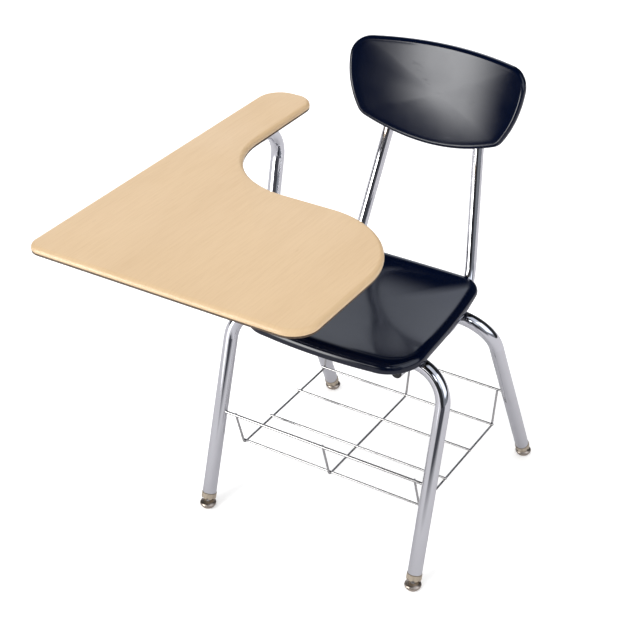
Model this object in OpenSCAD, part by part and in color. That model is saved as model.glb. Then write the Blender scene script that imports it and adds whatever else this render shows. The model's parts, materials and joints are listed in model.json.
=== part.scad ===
// Student desk chair: a moulded seat and back on a chromed tube frame, with a fixed
// writing surface on a side arm, a wire book rack and four self-levelling glides.
// Millimetres. +Z is up and the floor is z = 0. The sitter faces -Y, and the desk arm
// is on the sitter's right, which is -X. The origin is on the floor, under the middle
// of the whole outline, desk included. The parts are drawn about the stance centre, on
// the seat's centre plane and midway between the front and rear glides, and centred()
// moves them from there.

/* [Tubes] */
// Outside diameter of the leg frames and the desk support
leg_tube_d = 28.6; // [25.4:0.1:31.8]
// Outside diameter of the back uprights
upright_tube_d = 22.2; // [19:0.1:25.4]
// Wall of every tube
tube_wall = 1.8; // [1.2:0.1:2.5]
// Centre-line bend radius of the leg frames
leg_bend_r = 72; // [60:1:80]
// Centre-line bend radius at the bottom of the back uprights
upright_bend_r = 125; // [120:1:140]

/* [Leg frames] */
// Half the distance between the left and right glides
foot_x = 241; // [230:1:250]
// Distance of the front glides in front of the stance centre
front_foot_y = 253; // [240:1:265]
// Distance of the rear glides behind the stance centre
rear_foot_y = 251; // [240:1:265]
// Height of the front frame's cross tube, at its centre line
front_cross_z = 432.2; // [430:0.1:436]
// Distance of the front frame's cross tube in front of the stance centre
front_cross_y = 136; // [126:1:146]
// Height of the rear frame's cross tube, at its centre line
rear_cross_z = 421.6; // [420:0.1:425]
// Distance of the rear frame's cross tube behind the stance centre
rear_cross_y = 65; // [58:1:70]

/* [Seat and back] */
// Height of the seat's rolled rim
seat_z = 467; // [460:1:475]
// Width of the seat across its front
seat_front_w = 383; // [372:1:394]
// Width of the seat across its rear
seat_rear_w = 349; // [340:1:360]
// Depth of the seat from front lip to rear edge
seat_depth = 365; // [355:1:372]
// Depth of the dish below the rim
dish_depth = 10; // [8:1:12]
// Width of the backrest
back_w = 380; // [360:1:390]
// Height of the backrest, along its slope
back_h = 198; // [185:1:205]
// Thickness of the moulded shells
shell_t = 4.6; // [3.8:0.1:5]

/* [Desk] */
// Height of the writing surface
desk_z = 713; // [700:1:725]
// Width of the writing surface
desk_w = 571.5; // [555:0.5:590]
// Distance of the front edge in front of the stance centre
desk_front_y = 540; // [525:1:560]
// Width of the arm rest
arm_w = 113; // [105:1:125]
// Thickness of the top
desk_t = 16; // [14:0.5:19]

/* [Book rack] */
// Diameter of the rack's wires
wire_d = 4.6; // [4:0.1:6]
// Diameter of the front rail
rail_d = 6; // [5:0.1:8]
// Height of the rack's floor
rack_floor_z = 125.4; // [110:0.1:140]
// Height of the rack's front rail
rack_rail_z = 211; // [200:1:220]

/* [Glides] */
// Height of the ball's centre above the floor
ball_z = 10; // [10:0.1:10.5]
// Radius of the ball on the stud
ball_r = 5; // [4.8:0.1:5]
// Running clearance of the ball and the liner
ball_gap = 0.05; // [0.02:0.01:0.08]
// Largest diameter of the steel cup
cup_d = 34; // [32:0.5:38]

/* [Hidden] */
$fn = 64;

leg_r = leg_tube_d / 2;
upright_r = upright_tube_d / 2;
weld = 0.3;

// Ball centres of the four glides, and the points where the two leg frames turn over.
// Each leg leans in towards its top by its frame's splay.
front_feet = [[-foot_x, -front_foot_y, ball_z], [foot_x, -front_foot_y, ball_z]];
rear_feet = [[-foot_x, rear_foot_y, ball_z], [foot_x, rear_foot_y, ball_z]];
front_splay = 4.6;
rear_splay = 15;
front_top_x = foot_x - front_splay;
rear_top_x = foot_x - rear_splay;
front_top = [[-front_top_x, -front_cross_y, front_cross_z], [front_top_x, -front_cross_y, front_cross_z]];
rear_top = [[-rear_top_x, rear_cross_y, rear_cross_z], [rear_top_x, rear_cross_y, rear_cross_z]];
feet = [front_feet[0], front_feet[1], rear_feet[0], rear_feet[1]];
leg_tops = [front_top[0], front_top[1], rear_top[0], rear_top[1]];

// Each leg tube starts a narrow groove above the flange of its glide's collar
collar_low = 10.6;
collar_h = 12;
collar_r = 15.2;
groove = 1.2;
hair = 0.05;
tube_start = collar_low + collar_h + groove;

// Back uprights: a lean back of 0.281 and a lean in of 0.1286 for each unit of height
upright_lean = atan(0.281);
upright_in = atan(0.1286);
// Slope of the run under the seat, in degrees, and where its plane crosses the bend
run_slope = 3.8;
upright_run_x = 139.5;
upright_run_y = 39.6;
upright_run_z = 395.4;
upright_run_len = 193.7;
upright_len = 496;

// ---- vectors ----

function unit(v) = v / norm(v);
function lerp(a, b, t) = a + (b - a) * t;
// Matrix whose x, y and z directions are a, b and c, with its origin at p
function place(a, b, c, p) = [
    [a[0], b[0], c[0], p[0]],
    [a[1], b[1], c[1], p[1]],
    [a[2], b[2], c[2], p[2]],
    [0, 0, 0, 1]];
function side_of(d) = unit(cross(abs(d[2]) > 0.9 ? [0, 1, 0] : [0, 0, 1], d));

module along(p, d) {
    s = side_of(unit(d));
    multmatrix(place(s, cross(unit(d), s), unit(d), p)) children();
}

module ring(r_out, r_in, h) {
    rotate_extrude() translate([r_in, 0]) square([r_out - r_in, h]);
}

// ---- tubes and wires ----

// Length from a corner of the path to where its bend of radius r starts
function setback(a, b, c, r) = r * tan(acos(unit(b - a) * unit(c - b)) / 2);

// One bend at corner b of a path a, b, c
module bend(a, b, c, r, wire_r) {
    d1 = unit(b - a);
    d2 = unit(c - b);
    start = b - d1 * setback(a, b, c, r);
    outward = unit(d1 * (d1 * d2) - d2);
    centre = start - outward * r;
    multmatrix(place(outward, d1, cross(outward, d1), centre))
        rotate_extrude(angle = acos(d1 * d2)) translate([r, 0]) circle(wire_r);
}

// A solid wire along straight runs through pts, bent to radius r at each corner. The
// bends are drawn down a hair, and each straight run laps over their ends.
lap = 0.5;
draw_down = 0.05;
module bent_wire(pts, r, wire_r) {
    last = len(pts) - 1;
    for (i = [0 : last - 1]) {
        d = unit(pts[i + 1] - pts[i]);
        a = i == 0 ? pts[0] : pts[i] + d * (setback(pts[i - 1], pts[i], pts[i + 1], r) - lap);
        b = i == last - 1 ? pts[last] : pts[i + 1] - d * (setback(pts[i], pts[i + 1], pts[i + 2], r) - lap);
        along(a, d) cylinder(h = norm(b - a), r = wire_r);
        if (i < last - 1) bend(pts[i], pts[i + 1], pts[i + 2], r, wire_r - draw_down);
    }
}

// A tube on the same path. Its bore runs out past both ends.
module bent_tube(pts, r, r_out) {
    last = len(pts) - 1;
    past = concat([pts[0] - unit(pts[1] - pts[0])], [for (i = [1 : last - 1]) pts[i]],
                  [pts[last] + unit(pts[last] - pts[last - 1])]);
    difference() {
        bent_wire(pts, r, r_out);
        bent_wire(past, r, r_out - tube_wall);
    }
}

// ---- leg frames ----

function leg_axis(i) = unit(leg_tops[i] - feet[i]);

// An upside-down U: two splayed legs and the cross tube under the seat
module leg_frame(left, right) {
    bent_tube([feet[left] + leg_axis(left) * tube_start, leg_tops[left],
               leg_tops[right], feet[right] + leg_axis(right) * tube_start],
              leg_bend_r, leg_r);
}

module front_leg_frame() { color("silver") centred() leg_frame(0, 1); }
module rear_leg_frame() { color("silver") centred() leg_frame(2, 3); }

// ---- back uprights ----

// The upright's own plane leans in by upright_in. In it, y runs back and z runs up.
function upright_plane(side) = place([side * cos(upright_in), 0, sin(upright_in)], [0, 1, 0],
    [-side * sin(upright_in), 0, cos(upright_in)],
    [side * upright_run_x, upright_run_y, upright_run_z]);
function upright_corner() = let (turn = 90 - upright_lean + run_slope)
    upright_bend_r * tan(turn / 2) * [0, cos(run_slope), -sin(run_slope)];
function upright_dir() = [0, sin(upright_lean), cos(upright_lean)];
function upright_front_end() = upright_run_len * [0, -cos(run_slope), sin(run_slope)];
// A point on the upright's centre line, s above the corner
function upright_at(s) = upright_corner() + upright_dir() * s;

// Where the four backrest screws cross the uprights, measured from the corner
backrest_screw_s = [380, 464];
screw_r = 2.4;
hole_r = screw_r + 0.15;
head_r = 4.7;
head_h = 2.8;

module upright(side) {
    multmatrix(upright_plane(side)) difference() {
        bent_tube([upright_front_end(), upright_corner(), upright_at(upright_len)],
                  upright_bend_r, upright_r);
        for (s = backrest_screw_s)
            along(upright_at(s) - backward() * upright_tube_d, backward())
                cylinder(h = 2 * upright_tube_d, r = hole_r);
    }
}
// Straight back out of the upright, square to its centre line
function backward() = [0, cos(upright_lean), -sin(upright_lean)];

module back_upright_right() { color("silver") centred() upright(-1); }
module back_upright_left() { color("silver") centred() upright(1); }

// A push-in plug: a domed head over the tube's end and a spigot inside it
plug_dome_h = 3;
plug_edge_h = 1.4;
plug_spigot_h = 12;
module tube_plug(r_out) {
    r_in = r_out - tube_wall;
    rotate_extrude() polygon([
        [0, -plug_spigot_h], [r_in - 0.6, -plug_spigot_h], [r_in - hair, 2 - plug_spigot_h],
        [r_in - hair, 0], [r_out, 0], [r_out, plug_edge_h], [r_out - 1, plug_dome_h - 0.5],
        [r_out - 2.6, plug_dome_h], [0, plug_dome_h]]);
}

module upright_front_plugs() {
    color([0.04, 0.04, 0.045]) centred() for (side = [-1, 1])
        multmatrix(upright_plane(side))
            along(upright_front_end(), [0, -cos(run_slope), sin(run_slope)]) tube_plug(upright_r);
}

module upright_top_plugs() {
    color([0.04, 0.04, 0.045]) centred() for (side = [-1, 1])
        multmatrix(upright_plane(side))
            along(upright_at(upright_len), upright_dir()) tube_plug(upright_r);
}

// ---- rounded outlines ----

// Points of an arc about c from angle a0 to a1, in n steps
function arc(c, r, a0, a1, n) = [for (i = [0 : n])
    let (a = lerp(a0, a1, i / n)) c + r * [cos(a), sin(a)]];

// A four-sided outline, even about x = 0, with rounded corners and bowed front and rear.
// Counter-clockwise from the front middle; a and b are the half widths at y_rear and y_front.
side_bow = 3;
function shell_outline(a, b, y_rear, y_front, r_rear, r_front, bow_rear, bow_front) =
    let (tilt = atan((b - a) / (y_rear - y_front)),
         yr = y_rear - bow_rear, yf = y_front + bow_front,
         rear = arc([a - r_rear, yr - r_rear], r_rear, tilt, 90, 8),
         front = arc([b - r_front, yf + r_front], r_front, -90, tilt, 8),
         rear_edge = [for (i = [1 : 3]) let (x = lerp(a - r_rear, 0, i / 3))
             [x, y_rear - bow_rear * pow(x / (a - r_rear), 2)]],
         front_edge = [for (i = [0 : 2]) let (x = lerp(0, b - r_front, i / 3))
             [x, y_front + bow_front * pow(x / (b - r_front), 2)]],
         sides = [for (i = [1 : 5]) lerp(front[8], rear[0], i / 6) + [side_bow * sin(180 * i / 6), 0]],
         half = concat(front_edge, front, sides, rear, rear_edge))
    concat(half, [for (i = [len(half) - 2 : -1 : 1]) [-half[i][0], half[i][1]]]);

// Closed skin from rings of n points each; the first and the last ring are capped flat
// towards their middles
module lofted(rings) {
    n = len(rings[0]);
    m = len(rings);
    flat = [for (ring_pts = rings) for (p = ring_pts) p];
    first_mid = mean(rings[0]);
    last_mid = mean(rings[m - 1]);
    polyhedron(
        points = concat(flat, [first_mid, last_mid]),
        faces = concat(
            [for (j = [0 : m - 2]) for (i = [0 : n - 1]) let (a = j * n, b = a + n, k = (i + 1) % n)
                [a + i, b + i, b + k]],
            [for (j = [0 : m - 2]) for (i = [0 : n - 1]) let (a = j * n, b = a + n, k = (i + 1) % n)
                [a + i, b + k, a + k]],
            [for (i = [0 : n - 1]) [m * n, i, (i + 1) % n]],
            [for (i = [0 : n - 1]) [m * n + 1, (m - 1) * n + (i + 1) % n, (m - 1) * n + i]]));
}
function mean(pts) = sum(pts, len(pts) - 1) / len(pts);
function sum(v, i) = i == 0 ? v[0] : v[i] + sum(v, i - 1);

// ---- seat ----

seat_rear_y = 143;
seat_front_y = seat_rear_y - seat_depth;
seat_mid = [0, seat_rear_y - seat_depth * 0.46];
seat_edge = shell_outline(seat_rear_w / 2, seat_front_w / 2, seat_rear_y, seat_front_y,
    46, 74, 1, 6);
roll_r = 13;
roll_start = 0.93;
// The skirt below the roll is short at the rear, where the uprights pass close behind it
function skirt(y) = lerp(7, 1, clamp01((y - 60) / 50));

// Height of the rolled rim: it drops to a waterfall lip in front and rises at the rear
function clamp01(t) = max(0, min(1, t));
front_drop = 9;
rear_rise = 6;
function rim_z(y) = seat_z - front_drop * pow(clamp01((-90 - y) / (-90 - seat_front_y)), 2)
    + rear_rise * pow(clamp01((y - 10) / (seat_rear_y - 10)), 2);
// Height of the dish at a fraction t of the way from the middle to the rolled rim
function dish_z(t, y) = lerp(seat_z, rim_z(y), t * t) - dish_depth * (1 - pow(t, 3.2));

function seat_ring(t) = [for (p = seat_edge) let (q = lerp(seat_mid, p, t))
    [q[0], q[1], dish_z(t / roll_start, q[1])]];
// The rim rolls over by angle a about a centre roll_r inside the edge; inset thins it
function roll_ring(a, inset) = [for (p = seat_edge) let (
        u = unit(p - seat_mid), c = p - u * roll_r, q = c + u * (roll_r - inset) * sin(a))
    [q[0], q[1], rim_z(q[1]) - roll_r + (roll_r - inset) * cos(a)]];
function skirt_ring(inset) = [for (p = seat_edge) let (q = p - unit(p - seat_mid) * inset)
    [q[0], q[1], rim_z(q[1]) - roll_r - skirt(p[1])]];
function lower_ring(t) = [for (p = seat_ring(t)) p - [0, 0, shell_t]];

module seat_shell() {
    color([0.02, 0.03, 0.09]) centred() lofted(concat(
        [for (t = [0.25, 0.5, 0.66, 0.78, 0.87]) seat_ring(t)],
        [for (a = [0, 25, 50, 72, 90]) roll_ring(a, 0)],
        [skirt_ring(0), skirt_ring(shell_t)],
        [for (a = [90, 60, 30, 0]) roll_ring(a, shell_t)],
        [for (t = [0.84, 0.75, 0.6, 0.45, 0.25]) lower_ring(t)]));
}

// Two stamped plates lie on the cross tubes; four screws go up through them and spacers
bracket_t = 2.5;
bracket_l = 220;
bracket_w = 54;
seat_screw_x = 88;
seat_screw_off = 20;
bracket_y = [-front_cross_y, rear_cross_y];
bracket_z = [front_cross_z + leg_r - weld, rear_cross_z + leg_r - weld];
seat_screw_bite = 2;
spacer_r = 9;
spacer_h = [6.3, 20.4];

module seat_brackets() {
    color("silver") centred() for (k = [0, 1]) difference() {
        translate([0, bracket_y[k], bracket_z[k] + bracket_t / 2])
            cube([bracket_l, bracket_w, bracket_t], center = true);
        for (x = [-seat_screw_x, seat_screw_x])
            translate([x, bracket_y[k] + seat_screw_off, bracket_z[k] + bracket_t / 2])
                cylinder(h = 2 * bracket_t, r = hole_r, center = true);
    }
}

module seat_screw_places(k) {
    for (x = [-seat_screw_x, seat_screw_x])
        translate([x, bracket_y[k] + seat_screw_off, bracket_z[k]]) children();
}

// A pan head with a cross recess, its flat side on z = 0
module pan_head(r, h) {
    difference() {
        rotate_extrude() polygon([[0, 0], [r, 0], [r, h * 0.45], [r * 0.86, h * 0.8], [r * 0.5, h], [0, h]]);
        for (turn = [0, 90]) rotate([0, 0, turn])
            translate([0, 0, h * 0.75]) cube([r * 1.1, r * 0.24, h], center = true);
    }
}

module seat_spacers() {
    color([0.04, 0.04, 0.045]) centred() for (k = [0, 1]) seat_screw_places(k)
        translate([0, 0, bracket_t]) ring(spacer_r, hole_r, spacer_h[k]);
}

module seat_screws() {
    color("silver") centred() for (k = [0, 1]) seat_screw_places(k) union() {
        rotate([180, 0, 0]) pan_head(head_r, head_h);
        cylinder(h = bracket_t + spacer_h[k] + seat_screw_bite, r = screw_r);
    }
}

// ---- backrest ----

// The shell lies on a gentle curve about a sloping upright line. Its own u runs across,
// v up the slope and w straight back from the surface.
back_lean = 16.5;
back_mid = [0, 237.5, 791.5];
back_curve_r = 580;
function back_point(u, v, w) = let (yy = w - u * u / (2 * back_curve_r))
    back_mid + [u, yy * cos(back_lean) + v * sin(back_lean), -yy * sin(back_lean) + v * cos(back_lean)];

// Outline: round shoulders, sides that curve in downwards and a bowed lower edge
back_half_w = back_w / 2;
back_half_h = back_h / 2;
shoulder_v = back_half_h - 53;
function back_outline() = let (
        side = arc([0, shoulder_v], back_half_w, -33, 0, 6),
        shoulder = arc([back_half_w - 43, shoulder_v], 43, 0, 83, 9),
        hip = arc(side[0] - 35 * [cos(-33), sin(-33)], 35, -71, -33, 5),
        top = [for (i = [1 : 4]) let (x = lerp(shoulder[9][0], 0, i / 4))
            [x, lerp(back_half_h, shoulder[9][1], pow(x / shoulder[9][0], 2))]],
        bottom = [for (i = [0 : 4]) let (x = lerp(0, hip[0][0], i / 5))
            [x, lerp(-back_half_h, hip[0][1], pow(x / hip[0][0], 2))]],
        half = concat(bottom, hip, [for (i = [1 : 5]) side[i]], shoulder, top))
    concat(half, [for (i = [len(half) - 2 : -1 : 1]) [-half[i][0], half[i][1]]]);
back_edge = back_outline();
back_roll_r = 7;
back_dish = 3;
// The rolled rim is deeper along the top than along the bottom, where the uprights pass
function back_lip(v) = lerp(2, 9, clamp01((v + back_half_h) / back_h));

// t = 0 at the middle and 1 at the start of the roll
function back_ring(t, w0) = [for (p = back_edge)
    back_point(p[0] * t * 0.955, p[1] * t * 0.93, w0 + back_dish * (1 - pow(t, 4)))];
function back_roll(a, inset) = [for (p = back_edge) let (
        l = unit(p), q = p - l * back_roll_r + l * (back_roll_r - inset) * sin(a))
    back_point(q[0], q[1], back_roll_r - (back_roll_r - inset) * cos(a))];
function back_lip_ring(inset) = [for (p = back_edge) let (q = p - unit(p) * inset)
    back_point(q[0], q[1], back_roll_r + back_lip(p[1]))];

module backrest_shell() {
    color([0.02, 0.03, 0.09]) centred() lofted(concat(
        [for (t = [0.3, 0.55, 0.75, 0.88, 0.96]) back_ring(t, 0)],
        [for (a = [15, 40, 65, 90]) back_roll(a, 0)],
        [back_lip_ring(0), back_lip_ring(shell_t)],
        [for (a = [90, 60, 30]) back_roll(a, shell_t)],
        [for (t = [0.93, 0.86, 0.72, 0.5, 0.3]) back_ring(t, shell_t)]));
}

module backrest_screw_places() {
    for (side = [-1, 1]) for (s = backrest_screw_s)
        multmatrix(upright_plane(side)) along(upright_at(s), backward()) children();
}

// Each spacer is a saddle: flat against the shell and hollowed to the upright behind it
backrest_gap = 4.2;
back_screw_bite = 3;
saddle_h = 3;
module backrest_spacers() {
    color([0.04, 0.04, 0.045]) centred() backrest_screw_places()
        difference() {
            translate([0, 0, -upright_r - backrest_gap]) cylinder(h = backrest_gap + saddle_h, r = spacer_r);
            rotate([90, 0, 0]) cylinder(h = upright_tube_d, r = upright_r + hair, center = true);
            translate([0, 0, -upright_tube_d]) cylinder(h = upright_tube_d, r = hole_r);
        }
}

module backrest_screws() {
    color("silver") centred() backrest_screw_places() union() {
        translate([0, 0, -upright_r - backrest_gap - back_screw_bite])
            cylinder(h = upright_tube_d + backrest_gap + back_screw_bite, r = screw_r);
        translate([0, 0, upright_r]) pan_head(head_r, head_h);
    }
}

// ---- desk ----

desk_left_x = -397;
desk_right_x = desk_left_x + desk_w;
arm_tip_y = 253;
desk_back_y = -145;
arm_inner_x = desk_left_x + arm_w;
// Radii of the outline's corners, and of the cut-out in front of the sitter
front_left_r = 28;
front_right_r = 48;
shoulder_r = 182;
cut_r = 172;
arm_inner_r = 42;
arm_outer_r = 54;
laminate_t = 1.2;
laminate_drop = 11.2;
backer_t = 0.8;
core_inset = 0.6;
backer_inset = 1.5;
desk_screw_l = 12;

// Outline of the writing surface and its arm, inset by e. Arcs are centred on the same
// points at every inset, so that the layers' edges stay parallel.
function desk_outline(e) = concat(
    arc([desk_left_x + front_left_r, -desk_front_y + front_left_r], front_left_r - e, 180, 270, 12),
    arc([desk_right_x - front_right_r, -desk_front_y + front_right_r], front_right_r - e, -90, 0, 14),
    arc([desk_right_x - shoulder_r, desk_back_y - shoulder_r], shoulder_r - e, 0, 90, 28),
    arc([arm_inner_x + cut_r, desk_back_y + cut_r], cut_r + e, 270, 180, 24),
    arc([arm_inner_x - arm_inner_r, arm_tip_y - arm_inner_r], arm_inner_r - e, 0, 90, 14),
    arc([desk_left_x + arm_outer_r, arm_tip_y - arm_outer_r], arm_outer_r - e, 90, 180, 16));

module desk_slab(z0, z1, e) { translate([0, 0, z0]) linear_extrude(z1 - z0) polygon(desk_outline(e)); }

desk_low_z = desk_z - desk_t;
module desk_laminate() {
    color([0.91, 0.80, 0.66]) centred() difference() {
        desk_slab(desk_z - laminate_drop, desk_z, 0);
        desk_slab(desk_z - laminate_drop - 1, desk_z - laminate_t, laminate_t);
    }
}
module desk_core() {
    color([0.35, 0.25, 0.15]) centred() difference() {
        union() {
            desk_slab(desk_z - laminate_drop, desk_z - laminate_t, laminate_t);
            desk_slab(desk_low_z + backer_t, desk_z - laminate_drop, core_inset);
        }
        desk_screw_places() translate([0, 0, -1]) cylinder(h = desk_screw_l, r = screw_r - weld);
    }
}
module desk_backer() {
    color([0.15, 0.12, 0.1]) centred() difference() {
        desk_slab(desk_low_z, desk_low_z + backer_t, backer_inset);
        desk_screw_places() translate([0, 0, -1]) cylinder(h = desk_screw_l, r = hole_r);
    }
}

// ---- desk support ----

support_x = -326;
support_run_y = 115;
support_run_z = 385;
support_lean = 0.213;
support_end_x = 66;
plate_t = 2.5;
support_top_z = desk_low_z - plate_t - leg_r + weld;
support_top_y = support_run_y + support_lean * (support_top_z - support_run_z);
support_front_y = -352;
support_tip_x = 70;
support_bend_r = 62;

module desk_support_tube() {
    color("silver") centred() bent_tube([
            [support_end_x, support_run_y, support_run_z],
            [support_x, support_run_y, support_run_z],
            [support_x, support_top_y, support_top_z],
            [support_x, support_front_y, support_top_z],
            [support_tip_x, support_front_y, support_top_z]],
        support_bend_r, leg_r);
}

module desk_support_plugs() {
    color([0.04, 0.04, 0.045]) centred() {
        along([support_end_x, support_run_y, support_run_z], [1, 0, 0]) tube_plug(leg_r);
        along([support_tip_x, support_front_y, support_top_z], [1, 0, 0]) tube_plug(leg_r);
    }
}

// Two plates weld the lower run to the rear cross tube
gussets_x = [-92, 40];
gusset_t = 4;
module desk_support_gussets() {
    color("silver") centred() for (x = gussets_x) difference() {
        translate([x, 0, 0]) rotate([90, 0, 90]) linear_extrude(gusset_t, center = true) polygon([
            [rear_cross_y, rear_cross_z - leg_r - 4], [rear_cross_y + leg_r + 3, rear_cross_z + 6],
            [support_run_y + 2, support_run_z + leg_r + 4], [support_run_y - 4, support_run_z - leg_r + 2]]);
        translate([x, rear_cross_y, rear_cross_z]) rotate([0, 90, 0])
            cylinder(h = 2 * gusset_t, r = leg_r - weld, center = true);
        translate([x, support_run_y, support_run_z]) rotate([0, 90, 0])
            cylinder(h = 2 * gusset_t, r = leg_r - weld, center = true);
    }
}

// Flat plates on the support tube, each with two screws up into the top
plate_l = 78;
plate_w = 34;
desk_screw_pitch = 60;
plates_y = [70, -210];
plates_x = [-170, 20];

module desk_plate() {
    difference() {
        cube([plate_l, plate_w, plate_t], center = true);
        for (x = [-1, 1]) translate([x * desk_screw_pitch / 2, 0, 0])
            cylinder(h = 2 * plate_t, r = hole_r, center = true);
    }
}

module desk_plate_places() {
    for (y = plates_y) translate([support_x, y, desk_low_z - plate_t / 2]) children();
    for (x = plates_x) translate([x, support_front_y, desk_low_z - plate_t / 2])
        rotate([0, 0, 90]) children();
}

module desk_mounting_plates() { color("silver") centred() desk_plate_places() desk_plate(); }

module desk_screw_places() {
    desk_plate_places() for (x = [-1, 1])
        translate([x * desk_screw_pitch / 2, 0, plate_t / 2]) children();
}

module desk_screws() {
    color("silver") centred() desk_screw_places() union() {
        translate([0, 0, -plate_t]) rotate([180, 0, 0]) pan_head(head_r, head_h);
        translate([0, 0, -plate_t]) cylinder(h = desk_screw_l, r = screw_r);
    }
}

// ---- book rack ----

wire_r = wire_d / 2;
rail_r = rail_d / 2;
cross_x = 205;
nose = 3.6;
cross_bend_r = 8;
long_y = [-163, -62.5, 46.4, 150.4];
front_rail_y = -199;
front_rail_end = 225.5;
rear_rail_y = 173;
rear_rail_z = 199.8;
rear_rail_end = 222.5;

module rack_front_rail() {
    color("silver") centred() translate([0, front_rail_y, rack_rail_z]) rotate([0, 90, 0])
        cylinder(h = 2 * front_rail_end, r = rail_r, center = true);
}
module rack_rear_rail() {
    color("silver") centred() translate([0, rear_rail_y, rear_rail_z]) rotate([0, 90, 0])
        cylinder(h = 2 * rear_rail_end, r = wire_r, center = true);
}
module rack_long_wires() {
    color("silver") centred() for (y = long_y) translate([0, y, rack_floor_z]) rotate([0, 90, 0])
        cylinder(h = 2 * cross_x + 2 * wire_d, r = wire_r, center = true);
}
// Each cross wire hangs from the front rail, runs back under the long wires and rises
// to the rear rail
module rack_cross_wires() {
    low_z = rack_floor_z - wire_d + weld;
    color("silver") centred() for (x = [-cross_x, 0, cross_x]) bent_wire([
            [x, front_rail_y + rail_r + wire_r - weld, rack_rail_z - 1],
            [x, long_y[0] - nose, low_z],
            [x, long_y[3] + nose, low_z],
            [x, rear_rail_y - wire_d + weld, rear_rail_z + 1]],
        cross_bend_r, wire_r);
}

// ---- glides ----

shank_r = 3.4;
spigot_h = 16;
notches = 8;
notch = [7, 4.5, 5];
liner_r = 7.5;
neck_r = 2.7;
liner_top = 1.8;
cup_wall_top = 5;

// Tan collar: a flange below the tube's end, notched round its lower rim, with a
// spigot inside the tube
module collar(i) {
    along(feet[i], leg_axis(i)) difference() {
        union() {
            translate([0, 0, collar_low]) ring(collar_r, shank_r, collar_h);
            translate([0, 0, collar_low]) ring(leg_r - tube_wall - hair, shank_r, collar_h + spigot_h);
        }
        for (k = [0 : notches - 1]) rotate([0, 0, 360 / notches * (k + 0.5)])
            translate([collar_r, 0, collar_low]) cube(notch, center = true);
    }
}
module glide_collars() { color([0.72, 0.62, 0.48]) centred() for (i = [0 : 3]) collar(i); }

// Steel stud: a ball, a neck and a shank held in the collar
module stud(i) {
    along(feet[i], leg_axis(i)) union() {
        sphere(ball_r);
        cylinder(h = collar_low + 2, r = neck_r);
        translate([0, 0, collar_low]) cylinder(h = collar_h + spigot_h - 4, r = shank_r);
    }
}
module glide_ball_studs() { color("silver") centred() for (i = [0 : 3]) stud(i); }

// Moulded liner: snaps over the ball, and is round on the outside too
module liner(i) {
    translate(feet[i]) intersection() {
        difference() {
            sphere(liner_r);
            sphere(ball_r + ball_gap);
        }
        translate([0, 0, -10]) cylinder(h = 10 + liner_top, r = 10);
    }
}

// Steel cup: a domed top round the liner and a bowl-shaped side
pad_h = 1.8;
pad_r = 12;
module cup(i) {
    c = cup_d / 2;
    translate([feet[i][0], feet[i][1], 0]) difference() {
        rotate_extrude() polygon([
            [0, 0.7], [pad_r + 1.2, 0.7], [c - 2.6, 2.6], [c - 0.7, 5.2], [c, 8],
            [c - 0.3, 9.6], [c - 1.6, 11.4], [c - 4, 13], [c - 7.5, 14.4], [8.4, ball_z + cup_wall_top],
            [0, ball_z + cup_wall_top]]);
        translate([0, 0, -1]) cylinder(h = 1 + pad_h, r = pad_r);
        translate([0, 0, ball_z]) sphere(liner_r + ball_gap);
        translate([0, 0, ball_z + 3]) cylinder(h = 10, r = 7);
    }
}
module pad(i) {
    translate([feet[i][0], feet[i][1], 0]) rotate_extrude() polygon([
        [0, 0], [pad_r - 1.4, 0], [pad_r - 0.05, 0.9], [pad_r - 0.05, pad_h], [0, pad_h]]);
}

nylon = [0.85, 0.83, 0.78];
nickel = [0.62, 0.56, 0.5];
module glide_liner_fl() { color(nylon) centred() liner(0); }
module glide_liner_fr() { color(nylon) centred() liner(1); }
module glide_liner_rl() { color(nylon) centred() liner(2); }
module glide_liner_rr() { color(nylon) centred() liner(3); }
module glide_cup_fl() { color(nickel) centred() cup(0); }
module glide_cup_fr() { color(nickel) centred() cup(1); }
module glide_cup_rl() { color(nickel) centred() cup(2); }
module glide_cup_rr() { color(nickel) centred() cup(3); }
module glide_pad_fl() { color(nylon) centred() pad(0); }
module glide_pad_fr() { color(nylon) centred() pad(1); }
module glide_pad_rl() { color(nylon) centred() pad(2); }
module glide_pad_rr() { color(nylon) centred() pad(3); }

// ---- place ----

// The whole outline runs from the desk's left edge to the +X glides, and from the desk's
// front edge to the plugs at the tops of the uprights
outline_rear_y = upright_run_y + upright_corner()[1] + sin(upright_lean) * (upright_len + plug_edge_h)
    + upright_r * cos(upright_lean);
outline_mid = [(desk_left_x + foot_x + cup_d / 2) / 2, (outline_rear_y - desk_front_y) / 2, 0];
module centred() { translate(-outline_mid) children(); }

// ---- nodes ----

seat_shell();
seat_brackets();
seat_spacers();
seat_screws();
backrest_shell();
backrest_spacers();
backrest_screws();
front_leg_frame();
rear_leg_frame();
back_upright_left();
back_upright_right();
upright_front_plugs();
upright_top_plugs();
desk_support_tube();
desk_support_plugs();
desk_support_gussets();
desk_mounting_plates();
desk_core();
desk_laminate();
desk_backer();
desk_screws();
rack_front_rail();
rack_rear_rail();
rack_long_wires();
rack_cross_wires();
glide_collars();
glide_ball_studs();
glide_liner_fl();
glide_cup_fl();
glide_pad_fl();
glide_liner_fr();
glide_cup_fr();
glide_pad_fr();
glide_liner_rl();
glide_cup_rl();
glide_pad_rl();
glide_liner_rr();
glide_cup_rr();
glide_pad_rr();
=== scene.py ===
"""Looks of the student desk chair: smooth mouldings, laminate top, chrome and studio light."""

import json
import math

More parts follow.
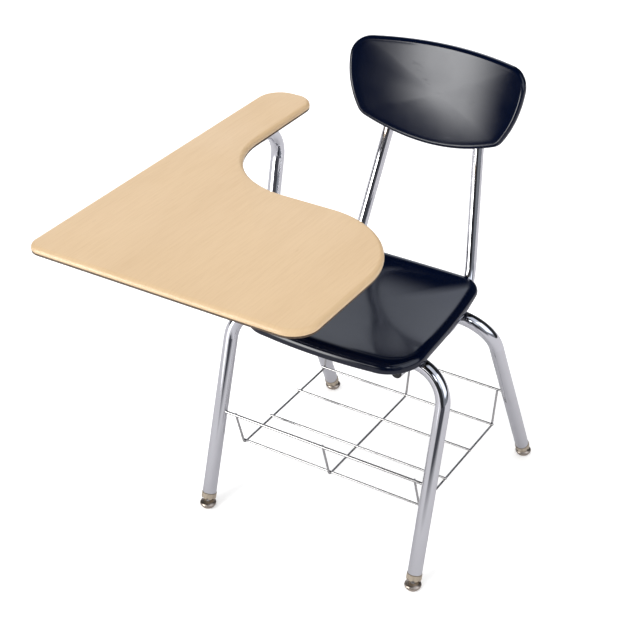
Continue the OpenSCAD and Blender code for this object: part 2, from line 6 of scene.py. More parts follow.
import bpy
import numpy as np
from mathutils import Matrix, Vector


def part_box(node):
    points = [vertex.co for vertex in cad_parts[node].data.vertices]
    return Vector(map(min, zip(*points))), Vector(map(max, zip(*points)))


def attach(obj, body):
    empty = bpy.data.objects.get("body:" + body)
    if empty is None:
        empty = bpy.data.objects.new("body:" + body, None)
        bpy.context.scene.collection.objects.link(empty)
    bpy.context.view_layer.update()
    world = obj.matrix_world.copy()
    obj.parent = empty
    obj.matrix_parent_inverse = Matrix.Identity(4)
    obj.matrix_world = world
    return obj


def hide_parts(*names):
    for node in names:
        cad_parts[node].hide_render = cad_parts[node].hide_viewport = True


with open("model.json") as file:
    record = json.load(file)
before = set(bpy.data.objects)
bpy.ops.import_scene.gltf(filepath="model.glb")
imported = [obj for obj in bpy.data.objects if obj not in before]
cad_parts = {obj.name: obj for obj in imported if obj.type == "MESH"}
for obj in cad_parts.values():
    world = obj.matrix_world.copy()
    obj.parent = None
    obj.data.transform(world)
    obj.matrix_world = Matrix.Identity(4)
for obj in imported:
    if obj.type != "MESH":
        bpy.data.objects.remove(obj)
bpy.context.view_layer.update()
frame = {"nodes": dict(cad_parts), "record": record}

MM = 0.001
ROOT = "chair_frame"

# Radius of the writing surface's rolled top edge
DESK_ROLL = 9 * MM

# Where the first ring of a dished face lies, from 0 in the middle to 1 at the crest of its rim
FACE_START = 0.03

# Strengths of the fill light, of the paper's own glow and of the sheet seen in reflections
AMBIENT = 0.62
PAPER_GLOW = 0.42
SOFTBOX = 9.4

# Reflections see the floor go dark towards DARK_SIDE, from PAPER_EDGE metres out
DARK_SIDE = (0.50, -0.866, 0.0)
PAPER_EDGE = 0.9
PAPER_FADE = 1.2


def stance_center():
    """Floor point that the CAD's parts are drawn about: on the seat's center plane, 253 mm
    behind the front glides."""
    left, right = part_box("glide_cup_fl"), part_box("glide_cup_fr")
    return np.array([(left[0].x + right[1].x) / 2, (left[0].y + left[1].y) / 2 + 253 * MM, 0.0])


STANCE = stance_center()


def stance_box(node):
    """Lowest and highest corners of a node, from the stance center."""
    low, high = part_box(node)
    return low - Vector(STANCE), high - Vector(STANCE)


# ---- shader helpers ----

def add(tree, kind, inputs=None, **settings):
    """A node with its settings; an input takes a value or another node's output socket."""
    node = tree.nodes.new(kind)
    for name, value in settings.items():
        setattr(node, name, value)
    for name, value in (inputs or {}).items():
        if isinstance(value, bpy.types.NodeSocket):
            tree.links.new(value, node.inputs[name])
        else:
            node.inputs[name].default_value = value
    return node


def math_node(tree, operation, a, b=0.0, clamp=False):
    return add(tree, "ShaderNodeMath", {0: a, 1: b}, operation=operation, use_clamp=clamp).outputs[0]


def product(tree, first, *others):
    for other in others:
        first = math_node(tree, "MULTIPLY", first, other)
    return first


def dot(tree, a, b):
    return add(tree, "ShaderNodeVectorMath", {0: a, 1: b}, operation="DOT_PRODUCT").outputs["Value"]


def is_ray(tree, kind):
    """1 for rays of one kind, such as Glossy or Camera, and 0 for the others."""
    return add(tree, "ShaderNodeLightPath").outputs["Is " + kind + " Ray"]


def remap(tree, value, low, high, to_low, to_high, smooth=False):
    """value taken from the range low..high to the range to_low..to_high."""
    node = add(tree, "ShaderNodeMapRange", {"Value": value, "From Min": low, "From Max": high,
                                            "To Min": to_low, "To Max": to_high})
    if smooth:
        node.interpolation_type = "SMOOTHSTEP"
    return node.outputs[0]


def grain(tree, scale, detail=3.0, stretch=(1.0, 1.0, 1.0), roughness=0.5):
    """Noise fixed to the object, 0..1, stretched along its axes."""
    coords = add(tree, "ShaderNodeTexCoord").outputs["Object"]
    mapped = add(tree, "ShaderNodeMapping", {"Vector": coords, "Scale": stretch}).outputs[0]
    return add(tree, "ShaderNodeTexNoise", {"Vector": mapped, "Scale": scale, "Detail": detail,
                                            "Roughness": roughness}).outputs["Fac"]


def mix(tree, factor, a, b):
    """Colour a at factor 0 and colour b at factor 1."""
    node = add(tree, "ShaderNodeMix", data_type="RGBA")
    for index, value in ((0, factor), (6, a), (7, b)):
        if isinstance(value, bpy.types.NodeSocket):
            tree.links.new(value, node.inputs[index])
        else:
            node.inputs[index].default_value = value if index == 0 else (*value, 1.0)
    return node.outputs[2]


def rubbed(tree, color, amount, worn, low=0.51, high=0.58):
    """color, with some of the worn colour on convex edges."""
    pointiness = add(tree, "ShaderNodeNewGeometry").outputs["Pointiness"]
    return mix(tree, remap(tree, pointiness, low, high, 0.0, amount), color, worn)


def bump(tree, height, distance, strength=1.0, normal=None):
    inputs = {"Height": height, "Distance": distance, "Strength": strength}
    if normal is not None:
        inputs["Normal"] = normal
    return add(tree, "ShaderNodeBump", inputs).outputs[0]


def material(name, color, roughness, metallic=0.0, normal=None, **extra):
    """Fills a material's Principled shader. color and roughness are functions of the tree."""
    made = bpy.data.materials.new(name)
    made.use_nodes = True
    tree = made.node_tree
    surface = tree.nodes["Principled BSDF"]
    tree.links.new(color(tree), surface.inputs["Base Color"])
    tree.links.new(roughness(tree), surface.inputs["Roughness"])
    surface.inputs["Metallic"].default_value = metallic
    if normal:
        tree.links.new(normal(tree), surface.inputs["Normal"])
    for key, value in extra.items():
        surface.inputs[key.replace("_", " ")].default_value = value
    return made


# ---- materials ----

def navy_plastic():
    """Polished injection moulding: deep navy, faint flow marks, rubbed edges, slight ripple."""
    def color(tree):
        flow = mix(tree, grain(tree, 5.0, 2.0), (0.0007, 0.0026, 0.0125), (0.0011, 0.0038, 0.0175))
        return rubbed(tree, flow, 0.12, (0.02, 0.026, 0.07), 0.52, 0.62)

    def roughness(tree):
        hands = remap(tree, grain(tree, 14.0, 5.0), 0.3, 0.7, 0.10, 0.17)
        hairlines = remap(tree, grain(tree, 60.0, 2.0, (1.0, 12.0, 1.0)), 0.62, 0.72, 0.0, 0.05)
        return math_node(tree, "ADD", hands, hairlines)

    def normal(tree):
        ripple = bump(tree, grain(tree, 9.0, 1.0), 0.5 * MM, 0.25)
        return bump(tree, grain(tree, 900.0, 2.0), 0.02 * MM, 0.25, ripple)

    return material("navy_plastic", color, roughness, normal=normal, IOR=1.5)


def chrome(name, tint, polish):
    """Bright chrome plate with a breath of haze, fine polishing marks and dulled contact edges."""
    def color(tree):
        clean = mix(tree, grain(tree, 30.0, 3.0), tint, tuple(c * 0.94 for c in tint))
        return rubbed(tree, clean, 0.2, (0.62, 0.61, 0.6))

    def roughness(tree):
        haze = remap(tree, grain(tree, 22.0, 4.0), 0.35, 0.7, polish, polish + 0.05)
        marks = remap(tree, grain(tree, 160.0, 2.0, (1.0, 1.0, 0.15)), 0.6, 0.75, 0.0, 0.03)
        return math_node(tree, "ADD", haze, marks)

    def normal(tree):
        return bump(tree, grain(tree, 45.0, 2.0), 0.05 * MM, 0.2)

    return material(name, color, roughness, 1.0, normal)


def plain_metal(name, low, high, shine, spread):
    """Plated steel: drawn grain in colour, roughness and bump, bright at the edges."""
    def color(tree):
        drawn = mix(tree, grain(tree, 130.0, 3.0, (1.0, 0.12, 1.0)), low, high)
        return rubbed(tree, drawn, 0.5, tuple(min(1, c * 1.3) for c in high))

    def roughness(tree):
        return remap(tree, grain(tree, 55.0, 4.0), 0.3, 0.7, shine, shine + spread)

    def normal(tree):
        return bump(tree, grain(tree, 300.0, 3.0, (1.0, 0.1, 1.0)), 0.03 * MM, 0.3)

    return material(name, color, roughness, 1.0, normal)


def plain_plastic(name, low, high, shine, stipple):
    """Moulded plastic: mottled colour, stippled surface, edges rubbed lighter."""
    def color(tree):
        mottled = mix(tree, grain(tree, 70.0, 4.0), low, high)
        return rubbed(tree, mottled, 0.4, tuple(min(1, c * 1.5 + 0.01) for c in high))

    def roughness(tree):
        return remap(tree, grain(tree, 120.0, 3.0), 0.3, 0.7, shine, shine + 0.15)

    def normal(tree):
        return bump(tree, grain(tree, 1500.0, 2.0), stipple * MM, 0.4)

    return material(name, color, roughness, 0.0, normal)


def maple_laminate():
    """Maple-pattern laminate: fine grain along Y, soft broad figure, sparse darker pores."""
    def color(tree):
        figure = mix(tree, remap(tree, grain(tree, 3.2, 3.0, (2.6, 0.35, 1.0)), 0.3, 0.7, 0.0, 1.0),
                     (0.735, 0.520, 0.300), (0.790, 0.572, 0.342))
        fine = mix(tree, remap(tree, grain(tree, 34.0, 5.0, (9.0, 0.45, 1.0), 0.6), 0.42, 0.75, 0.0, 0.35),
                   figure, (0.655, 0.440, 0.235))
        pores = remap(tree, grain(tree, 60.0, 2.0, (9.0, 0.5, 1.0)), 0.68, 0.76, 0.0, 0.22)
        return mix(tree, pores, fine, (0.52, 0.32, 0.16))

    def roughness(tree):
        worn = remap(tree, grain(tree, 6.0, 4.0), 0.3, 0.7, 0.30, 0.42)
        fibres = remap(tree, grain(tree, 34.0, 3.0, (9.0, 0.45, 1.0)), 0.4, 0.7, 0.0, 0.06)
        return math_node(tree, "ADD", worn, fibres)

    def normal(tree):
        ticks = bump(tree, grain(tree, 60.0, 3.0, (9.0, 0.5, 1.0)), 0.04 * MM, 0.3)
        return bump(tree, grain(tree, 1200.0, 2.0), 0.015 * MM, 0.3, ticks)

    return material("maple_laminate", color, roughness, normal=normal)


def pressed_board(name, low, high, shine):
    """Edge of pressed board or backing: coarse flakes in colour, roughness and bump."""
    def color(tree):
        flakes = grain(tree, 260.0, 5.0, (1.0, 1.0, 2.5), 0.7)
        return mix(tree, remap(tree, flakes, 0.35, 0.65, 0.0, 1.0), low, high)

    def roughness(tree):
        return remap(tree, grain(tree, 200.0, 4.0), 0.3, 0.7, shine, shine + 0.2)

    def normal(tree):
        return bump(tree, grain(tree, 500.0, 4.0), 0.12 * MM, 0.5)

    return material(name, color, roughness, normal=normal)


MATERIALS = {
    "navy_plastic": navy_plastic(),
    "chrome_tube": chrome("chrome_tube", (0.80, 0.80, 0.83), 0.035),
    "chrome_wire": chrome("chrome_wire", (0.52, 0.51, 0.50), 0.16),
    "zinc_steel": plain_metal("zinc_steel", (0.46, 0.46, 0.48), (0.58, 0.58, 0.6), 0.24, 0.16),
    "nickel_steel": plain_metal("nickel_steel", (0.46, 0.395, 0.335), (0.56, 0.485, 0.415), 0.28, 0.14),
    "black_plastic": plain_plastic("black_plastic", (0.006, 0.006, 0.007), (0.011, 0.011, 0.012),
                                   0.30, 0.02),
    "tan_plastic": plain_plastic("tan_plastic", (0.27, 0.22, 0.165), (0.34, 0.285, 0.22), 0.38, 0.03),
    "nylon": plain_plastic("nylon", (0.62, 0.585, 0.51), (0.70, 0.665, 0.59), 0.40, 0.03),
    "maple_laminate": maple_laminate(),
    "particle_board": pressed_board("particle_board", (0.055, 0.032, 0.017), (0.12, 0.075, 0.042), 0.5),
    "backing_sheet": pressed_board("backing_sheet", (0.030, 0.022, 0.016), (0.050, 0.038, 0.028), 0.45),
}


# ---- mesh helpers ----

def scene_object(name, data):
    made = bpy.data.objects.new(name, data)
    bpy.context.scene.collection.objects.link(made)
    return made


def sheet_object(name, corners):
    """One flat four-cornered face, for the studio."""
    mesh = bpy.data.meshes.new(name)
    mesh.from_pydata(corners, [], [(0, 1, 2, 3)])
    return scene_object(name, mesh)


def mesh_piece(name, points, faces, slot):
    """A smooth-shaded mesh with one of the materials, its points in metres from the stance center."""
    mesh = bpy.data.meshes.new(name)
    mesh.from_pydata([tuple(STANCE + p) for p in points], [], faces)
    mesh.validate()
    mesh.shade_smooth()
    piece = scene_object(name, mesh)
    mesh.materials.append(MATERIALS[slot])
    return piece


def lofted(name, rings, slot):
    """A closed skin through rings of equal length, capped towards the middle of the first and last."""
    count = len(rings[0])
    points = [p for ring in rings for p in ring] + [rings[0].mean(0), rings[-1].mean(0)]
    first, last = len(points) - 2, len(points) - 1
    faces = []
    for i in range(count):
        j = (i + 1) % count
        faces.append((first, i, j))
        faces.append((last, first - count + j, first - count + i))
        for r in range(len(rings) - 1):
            a, b = r * count, (r + 1) * count
            faces.append((a + i, b + i, b + j, a + j))
    return mesh_piece(name, points, faces, slot)


def arc(center, radius, start, end, steps=40):
    """Points of a plane arc; angles in degrees."""
    turn = np.radians(np.linspace(start, end, steps + 1))
    return np.column_stack([center[0] + radius * np.cos(turn), center[1] + radius * np.sin(turn)])


def parabola(x0, y0, x1, y1, steps=24):
    """A level start at (x0, y0) that bows to (x1, y1)."""
    s = np.linspace(0, 1, steps + 1)
    return np.column_stack([x0 + (x1 - x0) * s, y0 + (y1 - y0) * s ** 2])


def resample(points, count):
    """count points, evenly spaced along the closed line through points."""
    loop = np.vstack([points, points[:1]])
    steps = np.linalg.norm(np.diff(loop, axis=0), axis=1)
    keep = np.append(True, steps > 1e-9)
    loop = loop[keep]
    along = np.append(0, np.cumsum(np.linalg.norm(np.diff(loop, axis=0), axis=1)))
    wanted = np.linspace(0, along[-1], count, endpoint=False)
    return np.column_stack([np.interp(wanted, along, loop[:, k]) for k in (0, 1)])


def both_sides(half):
    """Mirrors an outline's +X half, which runs from x = 0 to x = 0, onto -X."""
    other = half[-2:0:-1].copy()
    other[:, 0] *= -1
    return np.vstack([half, other])


def units(vectors):
    return vectors / np.linalg.norm(vectors, axis=1)[:, None]


def clamp01(t):
    return np.clip(t, 0, 1)


def outward(loop):
    """Unit normals of a closed counter-clockwise plane line."""
    along = np.roll(loop, -1, axis=0) - np.roll(loop, 1, axis=0)
    return units(np.column_stack([along[:, 1], -along[:, 0]]))


# ---- seat ----

def seat_moulding():
    """Dished seat with a rolled rim, a waterfall front and a short skirt."""
    low, high = stance_box("seat_shell")
    half_front, y_front, y_rear = high.x, low.y, high.y
    half_rear = half_front - 17 * MM
    r_rear, r_front = 46 * MM, 74 * MM
    bow_rear, bow_front, bow_side = 1 * MM, 6 * MM, 3 * MM
    roll, shell, dish = 13 * MM, 4.6 * MM, 10 * MM
    deepest = 0.46  # of the way from the rear to the front
    rim_top = high.z - 6 * MM
    drop, drop_start = 9 * MM, -90 * MM
    rise, rise_start = 6 * MM, 10 * MM
    skirt_front, skirt_rear, skirt_start, skirt_run = 7 * MM, 1 * MM, 60 * MM, 50 * MM
    points_round, rings_top, rings_under = 288, 44, 24

    tilt = math.degrees(math.atan2(half_front - half_rear, y_rear - y_front))
    front = arc((half_front - r_front, y_front + bow_front + r_front), r_front, -90, tilt)
    rear = arc((half_rear - r_rear, y_rear - bow_rear - r_rear), r_rear, tilt, 90)
    s = np.linspace(0, 1, 40)[1:-1, None]
    side = front[-1] + (rear[0] - front[-1]) * s + np.hstack([bow_side * np.sin(math.pi * s), 0 * s])
    half = np.vstack([parabola(0, y_front, *front[0]), front[1:], side, rear,
                      parabola(0, y_rear, *rear[-1])[::-1][1:]])
    edge = resample(both_sides(half), points_round)
    out = outward(edge)
    middle = np.array([0, y_rear - (y_rear - y_front) * deepest])

    # The roll is a flat arc that runs into a tight one; the flat arc is widest at the front.
    frontness = clamp01(-out[:, 1]) ** 2
    turn_over = np.radians(20 + 5 * frontness)
    flat, tight = (26 + 14 * frontness) * MM, (12.2 + 1.8 * frontness) * MM
    across = (flat - tight) * np.sin(turn_over) + tight
    fall = flat - (flat - tight) * np.cos(turn_over)
    crest = edge - out * across[:, None]
    rim_z = (rim_top - drop * clamp01((drop_start - edge[:, 1]) / (drop_start - y_front)) ** 2
             + rise * clamp01((edge[:, 1] - rise_start) / (y_rear - rise_start)) ** 2)
    crest_z = rim_z + fall - roll

    def dish_ring(t, lower=0.0):
        """t is 0 at the middle and 1 at the crest of the roll."""
        z = rim_top + (crest_z - rim_top) * t ** 5 - dish * (1 - t ** 3.2)
        return np.column_stack([middle + (crest - middle) * t, z - lower])

    def roll_ring(angle, inset):
        a = math.radians(angle)
        early = a <= turn_over
        radius = np.where(early, flat, tight)
        shift = np.where(early, 0, flat - tight)
        plan = crest + out * (shift * np.sin(turn_over) + (radius - inset) * math.sin(a))[:, None]
        level = crest_z - flat + shift * np.cos(turn_over) + (radius - inset) * math.cos(a)
        return np.column_stack([plan, level])

    def skirt_ring(inset, part):
        skirt = skirt_front + (skirt_rear - skirt_front) * clamp01((edge[:, 1] - skirt_start) / skirt_run)
        return np.column_stack([edge - out * inset, rim_z - roll - skirt * part])

    lip = shell / 2
    rings = [dish_ring(t) for t in np.linspace(FACE_START, 1, rings_top)]
    rings += [roll_ring(a, 0) for a in range(5, 91, 5)]
    rings += [skirt_ring(0, part) for part in (0.35, 0.7)]
    for a in range(15, 180, 15):
        turn = math.radians(a)
        ring = skirt_ring(lip - lip * math.cos(turn), 1)
        ring[:, 2] += lip * (1 - math.sin(turn))
        rings.append(ring)
    rings += [skirt_ring(shell, 0.5)]
    rings += [roll_ring(a, shell) for a in range(90, 0, -10)]
    rings += [dish_ring(t, shell) for t in np.linspace(1, FACE_START, rings_under)]
    piece = lofted("seat_moulding", rings, "navy_plastic")
    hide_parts("seat_shell")
    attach(piece, ROOT)


# ---- backrest ----

def backrest_moulding():
    """Curved back with round shoulders, a hollow face and a rolled rim."""
    _, high = stance_box("backrest_shell")
    lean = math.radians(16.5)
    half_w, half_h = high.x, 99 * MM
    curve = 580 * MM
    center = np.array([0, 237.5, 791.5]) * MM
    roll, shell, hollow, toe = 7 * MM, 4.6 * MM, 3 * MM, 2.2 * MM
    shoulder_v, shoulder_r, hip_r = half_h - 53 * MM, 43 * MM, 35 * MM
    lip_bottom, lip_top = 2 * MM, 9 * MM
    curl_start = 0.92
    points_round, rings_front, rings_behind = 288, 40, 24

    def place(u, v, w):
        """Across, up the slope and straight back from the face, whose lower edge turns forward."""
        back = w - u ** 2 / (2 * curve) - toe * clamp01(-v / half_h) ** 2
        return np.column_stack([center[0] + u, center[1] + back * math.cos(lean) + v * math.sin(lean),
                                center[2] - back * math.sin(lean) + v * math.cos(lean)])

    side_center, side_end = np.array([0, shoulder_v]), -33
    side = arc(side_center, half_w, side_end, 0)
    shoulder = arc((half_w - shoulder_r, shoulder_v), shoulder_r, 0, 83)
    hip_center = side[0] + (side_center - side[0]) * hip_r / half_w
    hip = arc(hip_center, hip_r, -71, side_end)
    half = np.vstack([parabola(0, -half_h, *hip[0]), hip[1:], side[1:], shoulder[1:],
                      parabola(0, half_h, *shoulder[-1])[::-1][1:]])
    edge = resample(both_sides(half), points_round)
    out = outward(edge)
    crest = edge - out * roll

    # The face curls forward into a fine ridge at its crest, most of all at the sides.
    curl = (0.25 + 0.55 * out[:, 0] ** 2) * MM

    def face_ring(t, back):
        plan = crest * t
        w = back + hollow * (1 - t ** 2) - curl * clamp01((t - curl_start) / (1 - curl_start)) ** 2
        return place(plan[:, 0], plan[:, 1], w)

    def roll_ring(angle, inset):
        a = math.radians(angle)
        plan = crest + out * (roll - inset) * math.sin(a)
        return place(plan[:, 0], plan[:, 1], roll - (roll - inset) * math.cos(a) - curl * math.cos(a) ** 4)

    def lip_ring(inset, part, extra=0.0):
        plan = edge - out * inset
        depth = lip_bottom + (lip_top - lip_bottom) * clamp01((edge[:, 1] + half_h) / (2 * half_h))
        return place(plan[:, 0], plan[:, 1], roll + depth * part + extra)

    lip = shell / 2
    rings = [face_ring(t, 0) for t in np.linspace(FACE_START, 1, rings_front)]
    rings += [roll_ring(a, 0) for a in range(6, 91, 6)]
    rings += [lip_ring(0, part) for part in (0.35, 0.7)]
    for a in range(15, 180, 15):
        turn = math.radians(a)
        rings.append(lip_ring(lip - lip * math.cos(turn), 1, lip * (math.sin(turn) - 1)))
    rings += [lip_ring(shell, 0.5)]
    rings += [roll_ring(a, shell) for a in range(90, 0, -10)]
    rings += [face_ring(t, shell) for t in np.linspace(1, FACE_START, rings_behind)]
    piece = lofted("backrest_moulding", rings, "navy_plastic")
    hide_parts("backrest_shell")
    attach(piece, ROOT)


# ---- desk top ----

def desk_outline():
    """Plan of the writing surface and its arm, with its outward normals."""
    low, high = stance_box("desk_laminate")
    left, right, front, tip = low.x, high.x, low.y, high.y
    back, inner = -145 * MM, left + 113 * MM
    cut, shoulder = 172 * MM, 182 * MM
    left_corner, right_corner = 28 * MM, 48 * MM
    tip_inside, tip_outside = 42 * MM, 54 * MM
    points_round = 720
    outline = np.vstack([
        arc((left + left_corner, front + left_corner), left_corner, 180, 270),
        arc((right - right_corner, front + right_corner), right_corner, -90, 0),
        arc((right - shoulder, back - shoulder), shoulder, 0, 90),
        arc((inner + cut, back + cut), cut, 270, 180),
        arc((inner - tip_inside, tip - tip_inside), tip_inside, 0, 90),
        arc((left + tip_outside, tip - tip_outside), tip_outside, 90, 180)])
    edge = resample(outline, points_round)
    return edge, outward(edge)


def desk_layer(name, node, slot, top, inset, below):
    """One layer of the writing surface, its top edge rolled over to a side that is inset from the
    outline; below lists the height and inset of the rings under that."""
    edge, out = desk_outline()
    roll, roll_steps = DESK_ROLL - inset, 12
    profile = [(top - roll * (1 - math.cos(a)), inset + roll * (1 - math.sin(a)))
               for a in np.radians(np.linspace(0, 90, roll_steps + 1))]
    points = []
    for z, inwards in profile + below:
        points += list(np.column_stack([edge - out * inwards, np.full(len(edge), z)]))
    count = len(edge)
    faces = [tuple(range(count)), tuple(range(len(points) - 1, len(points) - count - 1, -1))]
    for a in range(0, len(points) - count, count):
        b = a + count
        faces += [(a + i, b + i, b + (i + 1) % count, a + (i + 1) % count) for i in range(count)]
    piece = mesh_piece(name, points, faces, slot)
    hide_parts(node)
    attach(piece, ROOT)


def desk_top():
    """Laminate over the board's top and sides, both with a rolled top edge."""
    bottom, top = (corner.z for corner in stance_box("desk_laminate"))
    skin, chamfer, reveal = 1.2 * MM, 0.4 * MM, 0.6 * MM
    desk_layer("desk_top_laminate", "desk_laminate", "maple_laminate", top, 0.0,
               [(bottom + chamfer, 0.0), (bottom, chamfer), (bottom, skin), (top - skin, DESK_ROLL)])
    desk_layer("desk_top_board", "desk_core", "particle_board", top - skin, skin,
               [(bottom, skin), (bottom, reveal), (stance_box("desk_core")[0].z, reveal)])


# ---- CAD nodes keep their shape and get their finish ----

def dress_cad_nodes():
    """Each CAD node gets its slot's material, and shades smooth up to its sharp edges."""
    slots = {s["node"]: s["material_slot"] for s in frame["record"]["subparts"]}
    for name, node in frame["nodes"].items():
        node.data.materials.clear()
        node.data.materials.append(MATERIALS[slots[name]])
        node.data.shade_smooth()
        weld = node.modifiers.new("weld", "WELD")
        weld.merge_threshold = 0.002 * MM
        split = node.modifiers.new("sharp_edges", "EDGE_SPLIT")
        split.split_angle = math.radians(32)


# ---- studio ----

def studio_floor():
    """White paper that glows a little, so that shadows stay faint. It ends on the camera's side:
    reflections see dark ground past that edge, which draws the dark streaks down the legs."""
    reach = 7.0
    floor = sheet_object("floor", [(-reach, -reach, 0), (reach, -reach, 0),
                                   (reach, reach, 0), (-reach, reach, 0)])
    floor.location = (STANCE[0], STANCE[1], -0.5 * MM)

    def paper(tree):
        return mix(tree, grain(tree, 1.5, 2.0), (0.88, 0.88, 0.88), (0.89, 0.89, 0.885))

    def color(tree):
        """Reflections see the paper in shade, and dark ground past its edge."""
        place = add(tree, "ShaderNodeTexCoord").outputs["Object"]

        ahead = dot(tree, place, DARK_SIDE)
        aside = dot(tree, place, (-DARK_SIDE[1], DARK_SIDE[0], 0))
        past = remap(tree, ahead, PAPER_EDGE, PAPER_EDGE + PAPER_FADE, 0.0, 1.0)
        spread = math_node(tree, "DIVIDE", aside, math_node(tree, "MAXIMUM", ahead, 0.1))
        beside = remap(tree, math_node(tree, "ABSOLUTE", spread), 0.42, 0.62, 1.0, 0.0, smooth=True)
        mirrored = mix(tree, product(tree, past, beside), (0.66, 0.655, 0.69), (0.06, 0.062, 0.075))
        return mix(tree, is_ray(tree, "Glossy"), paper(tree), mirrored)

    def roughness(tree):
        return remap(tree, grain(tree, 4.0, 2.0), 0.3, 0.7, 0.85, 0.95)

    made = material("paper_floor", color, roughness, Specular_IOR_Level=0.1)
    tree = made.node_tree
    surface = tree.nodes["Principled BSDF"]
    surface.inputs["Emission Color"].default_value = (1, 1, 1, 1)
    glow = remap(tree, is_ray(tree, "Glossy"), 0.0, 1.0, PAPER_GLOW, 0.0)
    tree.links.new(glow, surface.inputs["Emission Strength"])
    floor.data.materials.append(made)


def panel(tree, direction, azimuth, elevation, half_w, half_h, soft, strength):
    """A soft-edged rectangle of light in a direction. Azimuth 0 is +Y and 90 is +X, in degrees;
    the half sizes and the soft edge are tangents of angles."""
    a, e = math.radians(azimuth), math.radians(elevation)
    center = (math.sin(a) * math.cos(e), math.cos(a) * math.cos(e), math.sin(e))
    right = (math.cos(a), -math.sin(a), 0)
    up = tuple(np.cross(right, center))

    ahead = dot(tree, direction, center)
    depth = math_node(tree, "MAXIMUM", ahead, 0.01)
    masks = []
    for axis, half in ((right, half_w), (up, half_h)):
        offset = math_node(tree, "ABSOLUTE", math_node(tree, "DIVIDE", dot(tree, direction, axis), depth))
        masks.append(remap(tree, offset, half, half + soft, 1.0, 0.0, smooth=True))
    facing = math_node(tree, "GREATER_THAN", ahead, 0.02)
    return product(tree, *masks, facing, strength)


def studio_softbox():
    """A glowing sheet ahead of the chair, brightest in the middle and cut away at the lower right.
    Only reflections see it: it makes the grey bloom on the backrest and the streak along the
    seat's front."""
    half, bottom, top = 1.4, 0.05, 1.4
    sheet = sheet_object("softbox", [(-half, 0, bottom), (half, 0, bottom),
                                     (half, 0, top), (-half, 0, top)])
    sheet.location = Vector(STANCE) + Vector((-0.93, -1.75, 0))
    sheet.rotation_euler = (0, 0, math.radians(-25))
    made = bpy.data.materials.new("softbox")
    made.use_nodes = True
    tree = made.node_tree
    place = add(tree, "ShaderNodeTexCoord").outputs["Object"]
    x, _, z = add(tree, "ShaderNodeSeparateXYZ", {0: place}).outputs
    low_right = product(tree, remap(tree, x, 0.38, 0.46, 0.0, 1.0), remap(tree, z, 0.84, 0.90, 1.0, 0.0))
    masks = [remap(tree, axis, *limits, smooth=True) for axis, *limits in (
        (x, -1.05, -0.10, 0.0, 1.0),
        (x, 0.00, 1.35, 1.0, 0.0),
        (x, 0.10, 1.00, 1.0, 0.45),
        (z, 0.16, 0.45, 0.10, 1.0),
        (z, 1.03, 1.18, 1.0, 0.05))]
    glow = product(tree, *masks, math_node(tree, "SUBTRACT", 1.0, low_right), SOFTBOX)
    light = add(tree, "ShaderNodeEmission", {"Strength": glow}).outputs[0]
    clear = add(tree, "ShaderNodeBsdfTransparent").outputs[0]
    both = add(tree, "ShaderNodeAddShader", {0: light, 1: clear}).outputs[0]
    tree.links.new(both, tree.nodes["Material Output"].inputs["Surface"])
    sheet.data.materials.append(made)
    for kind in ("camera", "diffuse", "transmission", "volume_scatter", "shadow"):
        setattr(sheet, "visible_" + kind, False)


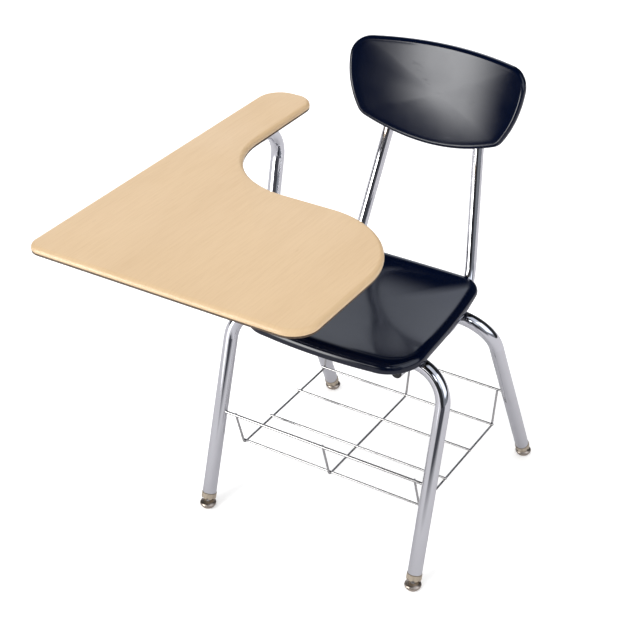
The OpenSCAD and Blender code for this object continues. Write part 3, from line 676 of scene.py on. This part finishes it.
def studio_world():
    """White all round for the camera and for soft fill; reflections see a wall and soft boxes."""
    world = bpy.data.worlds.new("studio")
    bpy.context.scene.world = world
    world.use_nodes = True
    tree = world.node_tree
    direction = add(tree, "ShaderNodeTexCoord").outputs["Generated"]
    z = add(tree, "ShaderNodeSeparateXYZ", {0: direction}).outputs["Z"]
    level = math_node(tree, "SQRT", math_node(tree, "SUBTRACT", 1.001, product(tree, z, z)))
    toward_wall = math_node(tree, "DIVIDE", dot(tree, direction, (-0.62, 0.78, 0.0)), level)
    seen = product(tree, remap(tree, z, 0.50, 0.76, 1.05, 0.0, smooth=True),
                   remap(tree, toward_wall, 0.91, 0.975, 0.03, 1.0, smooth=True))
    soft_boxes = [
        {"azimuth": 161, "elevation": 36, "half_w": 0.05, "half_h": 0.07, "soft": 0.03, "strength": 4.5},
        {"azimuth": 95, "elevation": 33, "half_w": 0.42, "half_h": 0.34, "soft": 0.12, "strength": 1.2},
        {"azimuth": 142, "elevation": 34, "half_w": 0.10, "half_h": 0.10, "soft": 0.08, "strength": 0.6},
        {"azimuth": 100, "elevation": 66, "half_w": 0.35, "half_h": 0.20, "soft": 0.12, "strength": 0.7},
        {"azimuth": 108, "elevation": 26, "half_w": 0.62, "half_h": 0.50, "soft": 0.25, "strength": 0.2}]
    for soft_box in soft_boxes:
        seen = math_node(tree, "ADD", seen, panel(tree, direction, **soft_box))
    plain = remap(tree, is_ray(tree, "Camera"), 0.0, 1.0, AMBIENT, 1.0)
    gloss = is_ray(tree, "Glossy")
    strength = math_node(tree, "ADD", product(tree, gloss, seen),
                         product(tree, math_node(tree, "SUBTRACT", 1.0, gloss), plain))
    background = tree.nodes["Background"]
    tree.links.new(mix(tree, gloss, (1, 1, 1), (0.93, 0.985, 1.10)), background.inputs["Color"])
    tree.links.new(strength, background.inputs["Strength"])


def soft_sun(name, coming_from, strength, spread):
    """Even light from one direction; spread is the width of the source in degrees."""
    light = bpy.data.lights.new(name, "SUN")
    light.energy = strength
    light.angle = math.radians(spread)
    lamp = scene_object(name, light)
    lamp.rotation_euler = Vector(coming_from).to_track_quat("Z", "Y").to_euler()
    lamp.visible_glossy = False


def studio_camera():
    """A medium telephoto ahead of the chair and above it, to the sitter's left."""
    data = bpy.data.cameras.new("camera")
    data.lens, data.sensor_width = 85.17, 36
    look_down, turn = 0.562350, 0.547055
    camera = scene_object("camera", data)
    camera.location = Vector(STANCE) + Vector((1.23505, -2.23069, 2.00250))
    camera.rotation_euler = (math.pi / 2 - look_down, 0, turn)
    bpy.context.scene.camera = camera


seat_moulding()
backrest_moulding()
desk_top()
dress_cad_nodes()
studio_floor()
studio_softbox()
studio_world()
soft_sun("key", (-0.28, -0.96, 1.05), 1.15, 24)
soft_sun("top", (-0.2, 0.1, 1.0), 0.7, 90)
studio_camera()
bpy.context.scene.view_settings.view_transform = "Standard"
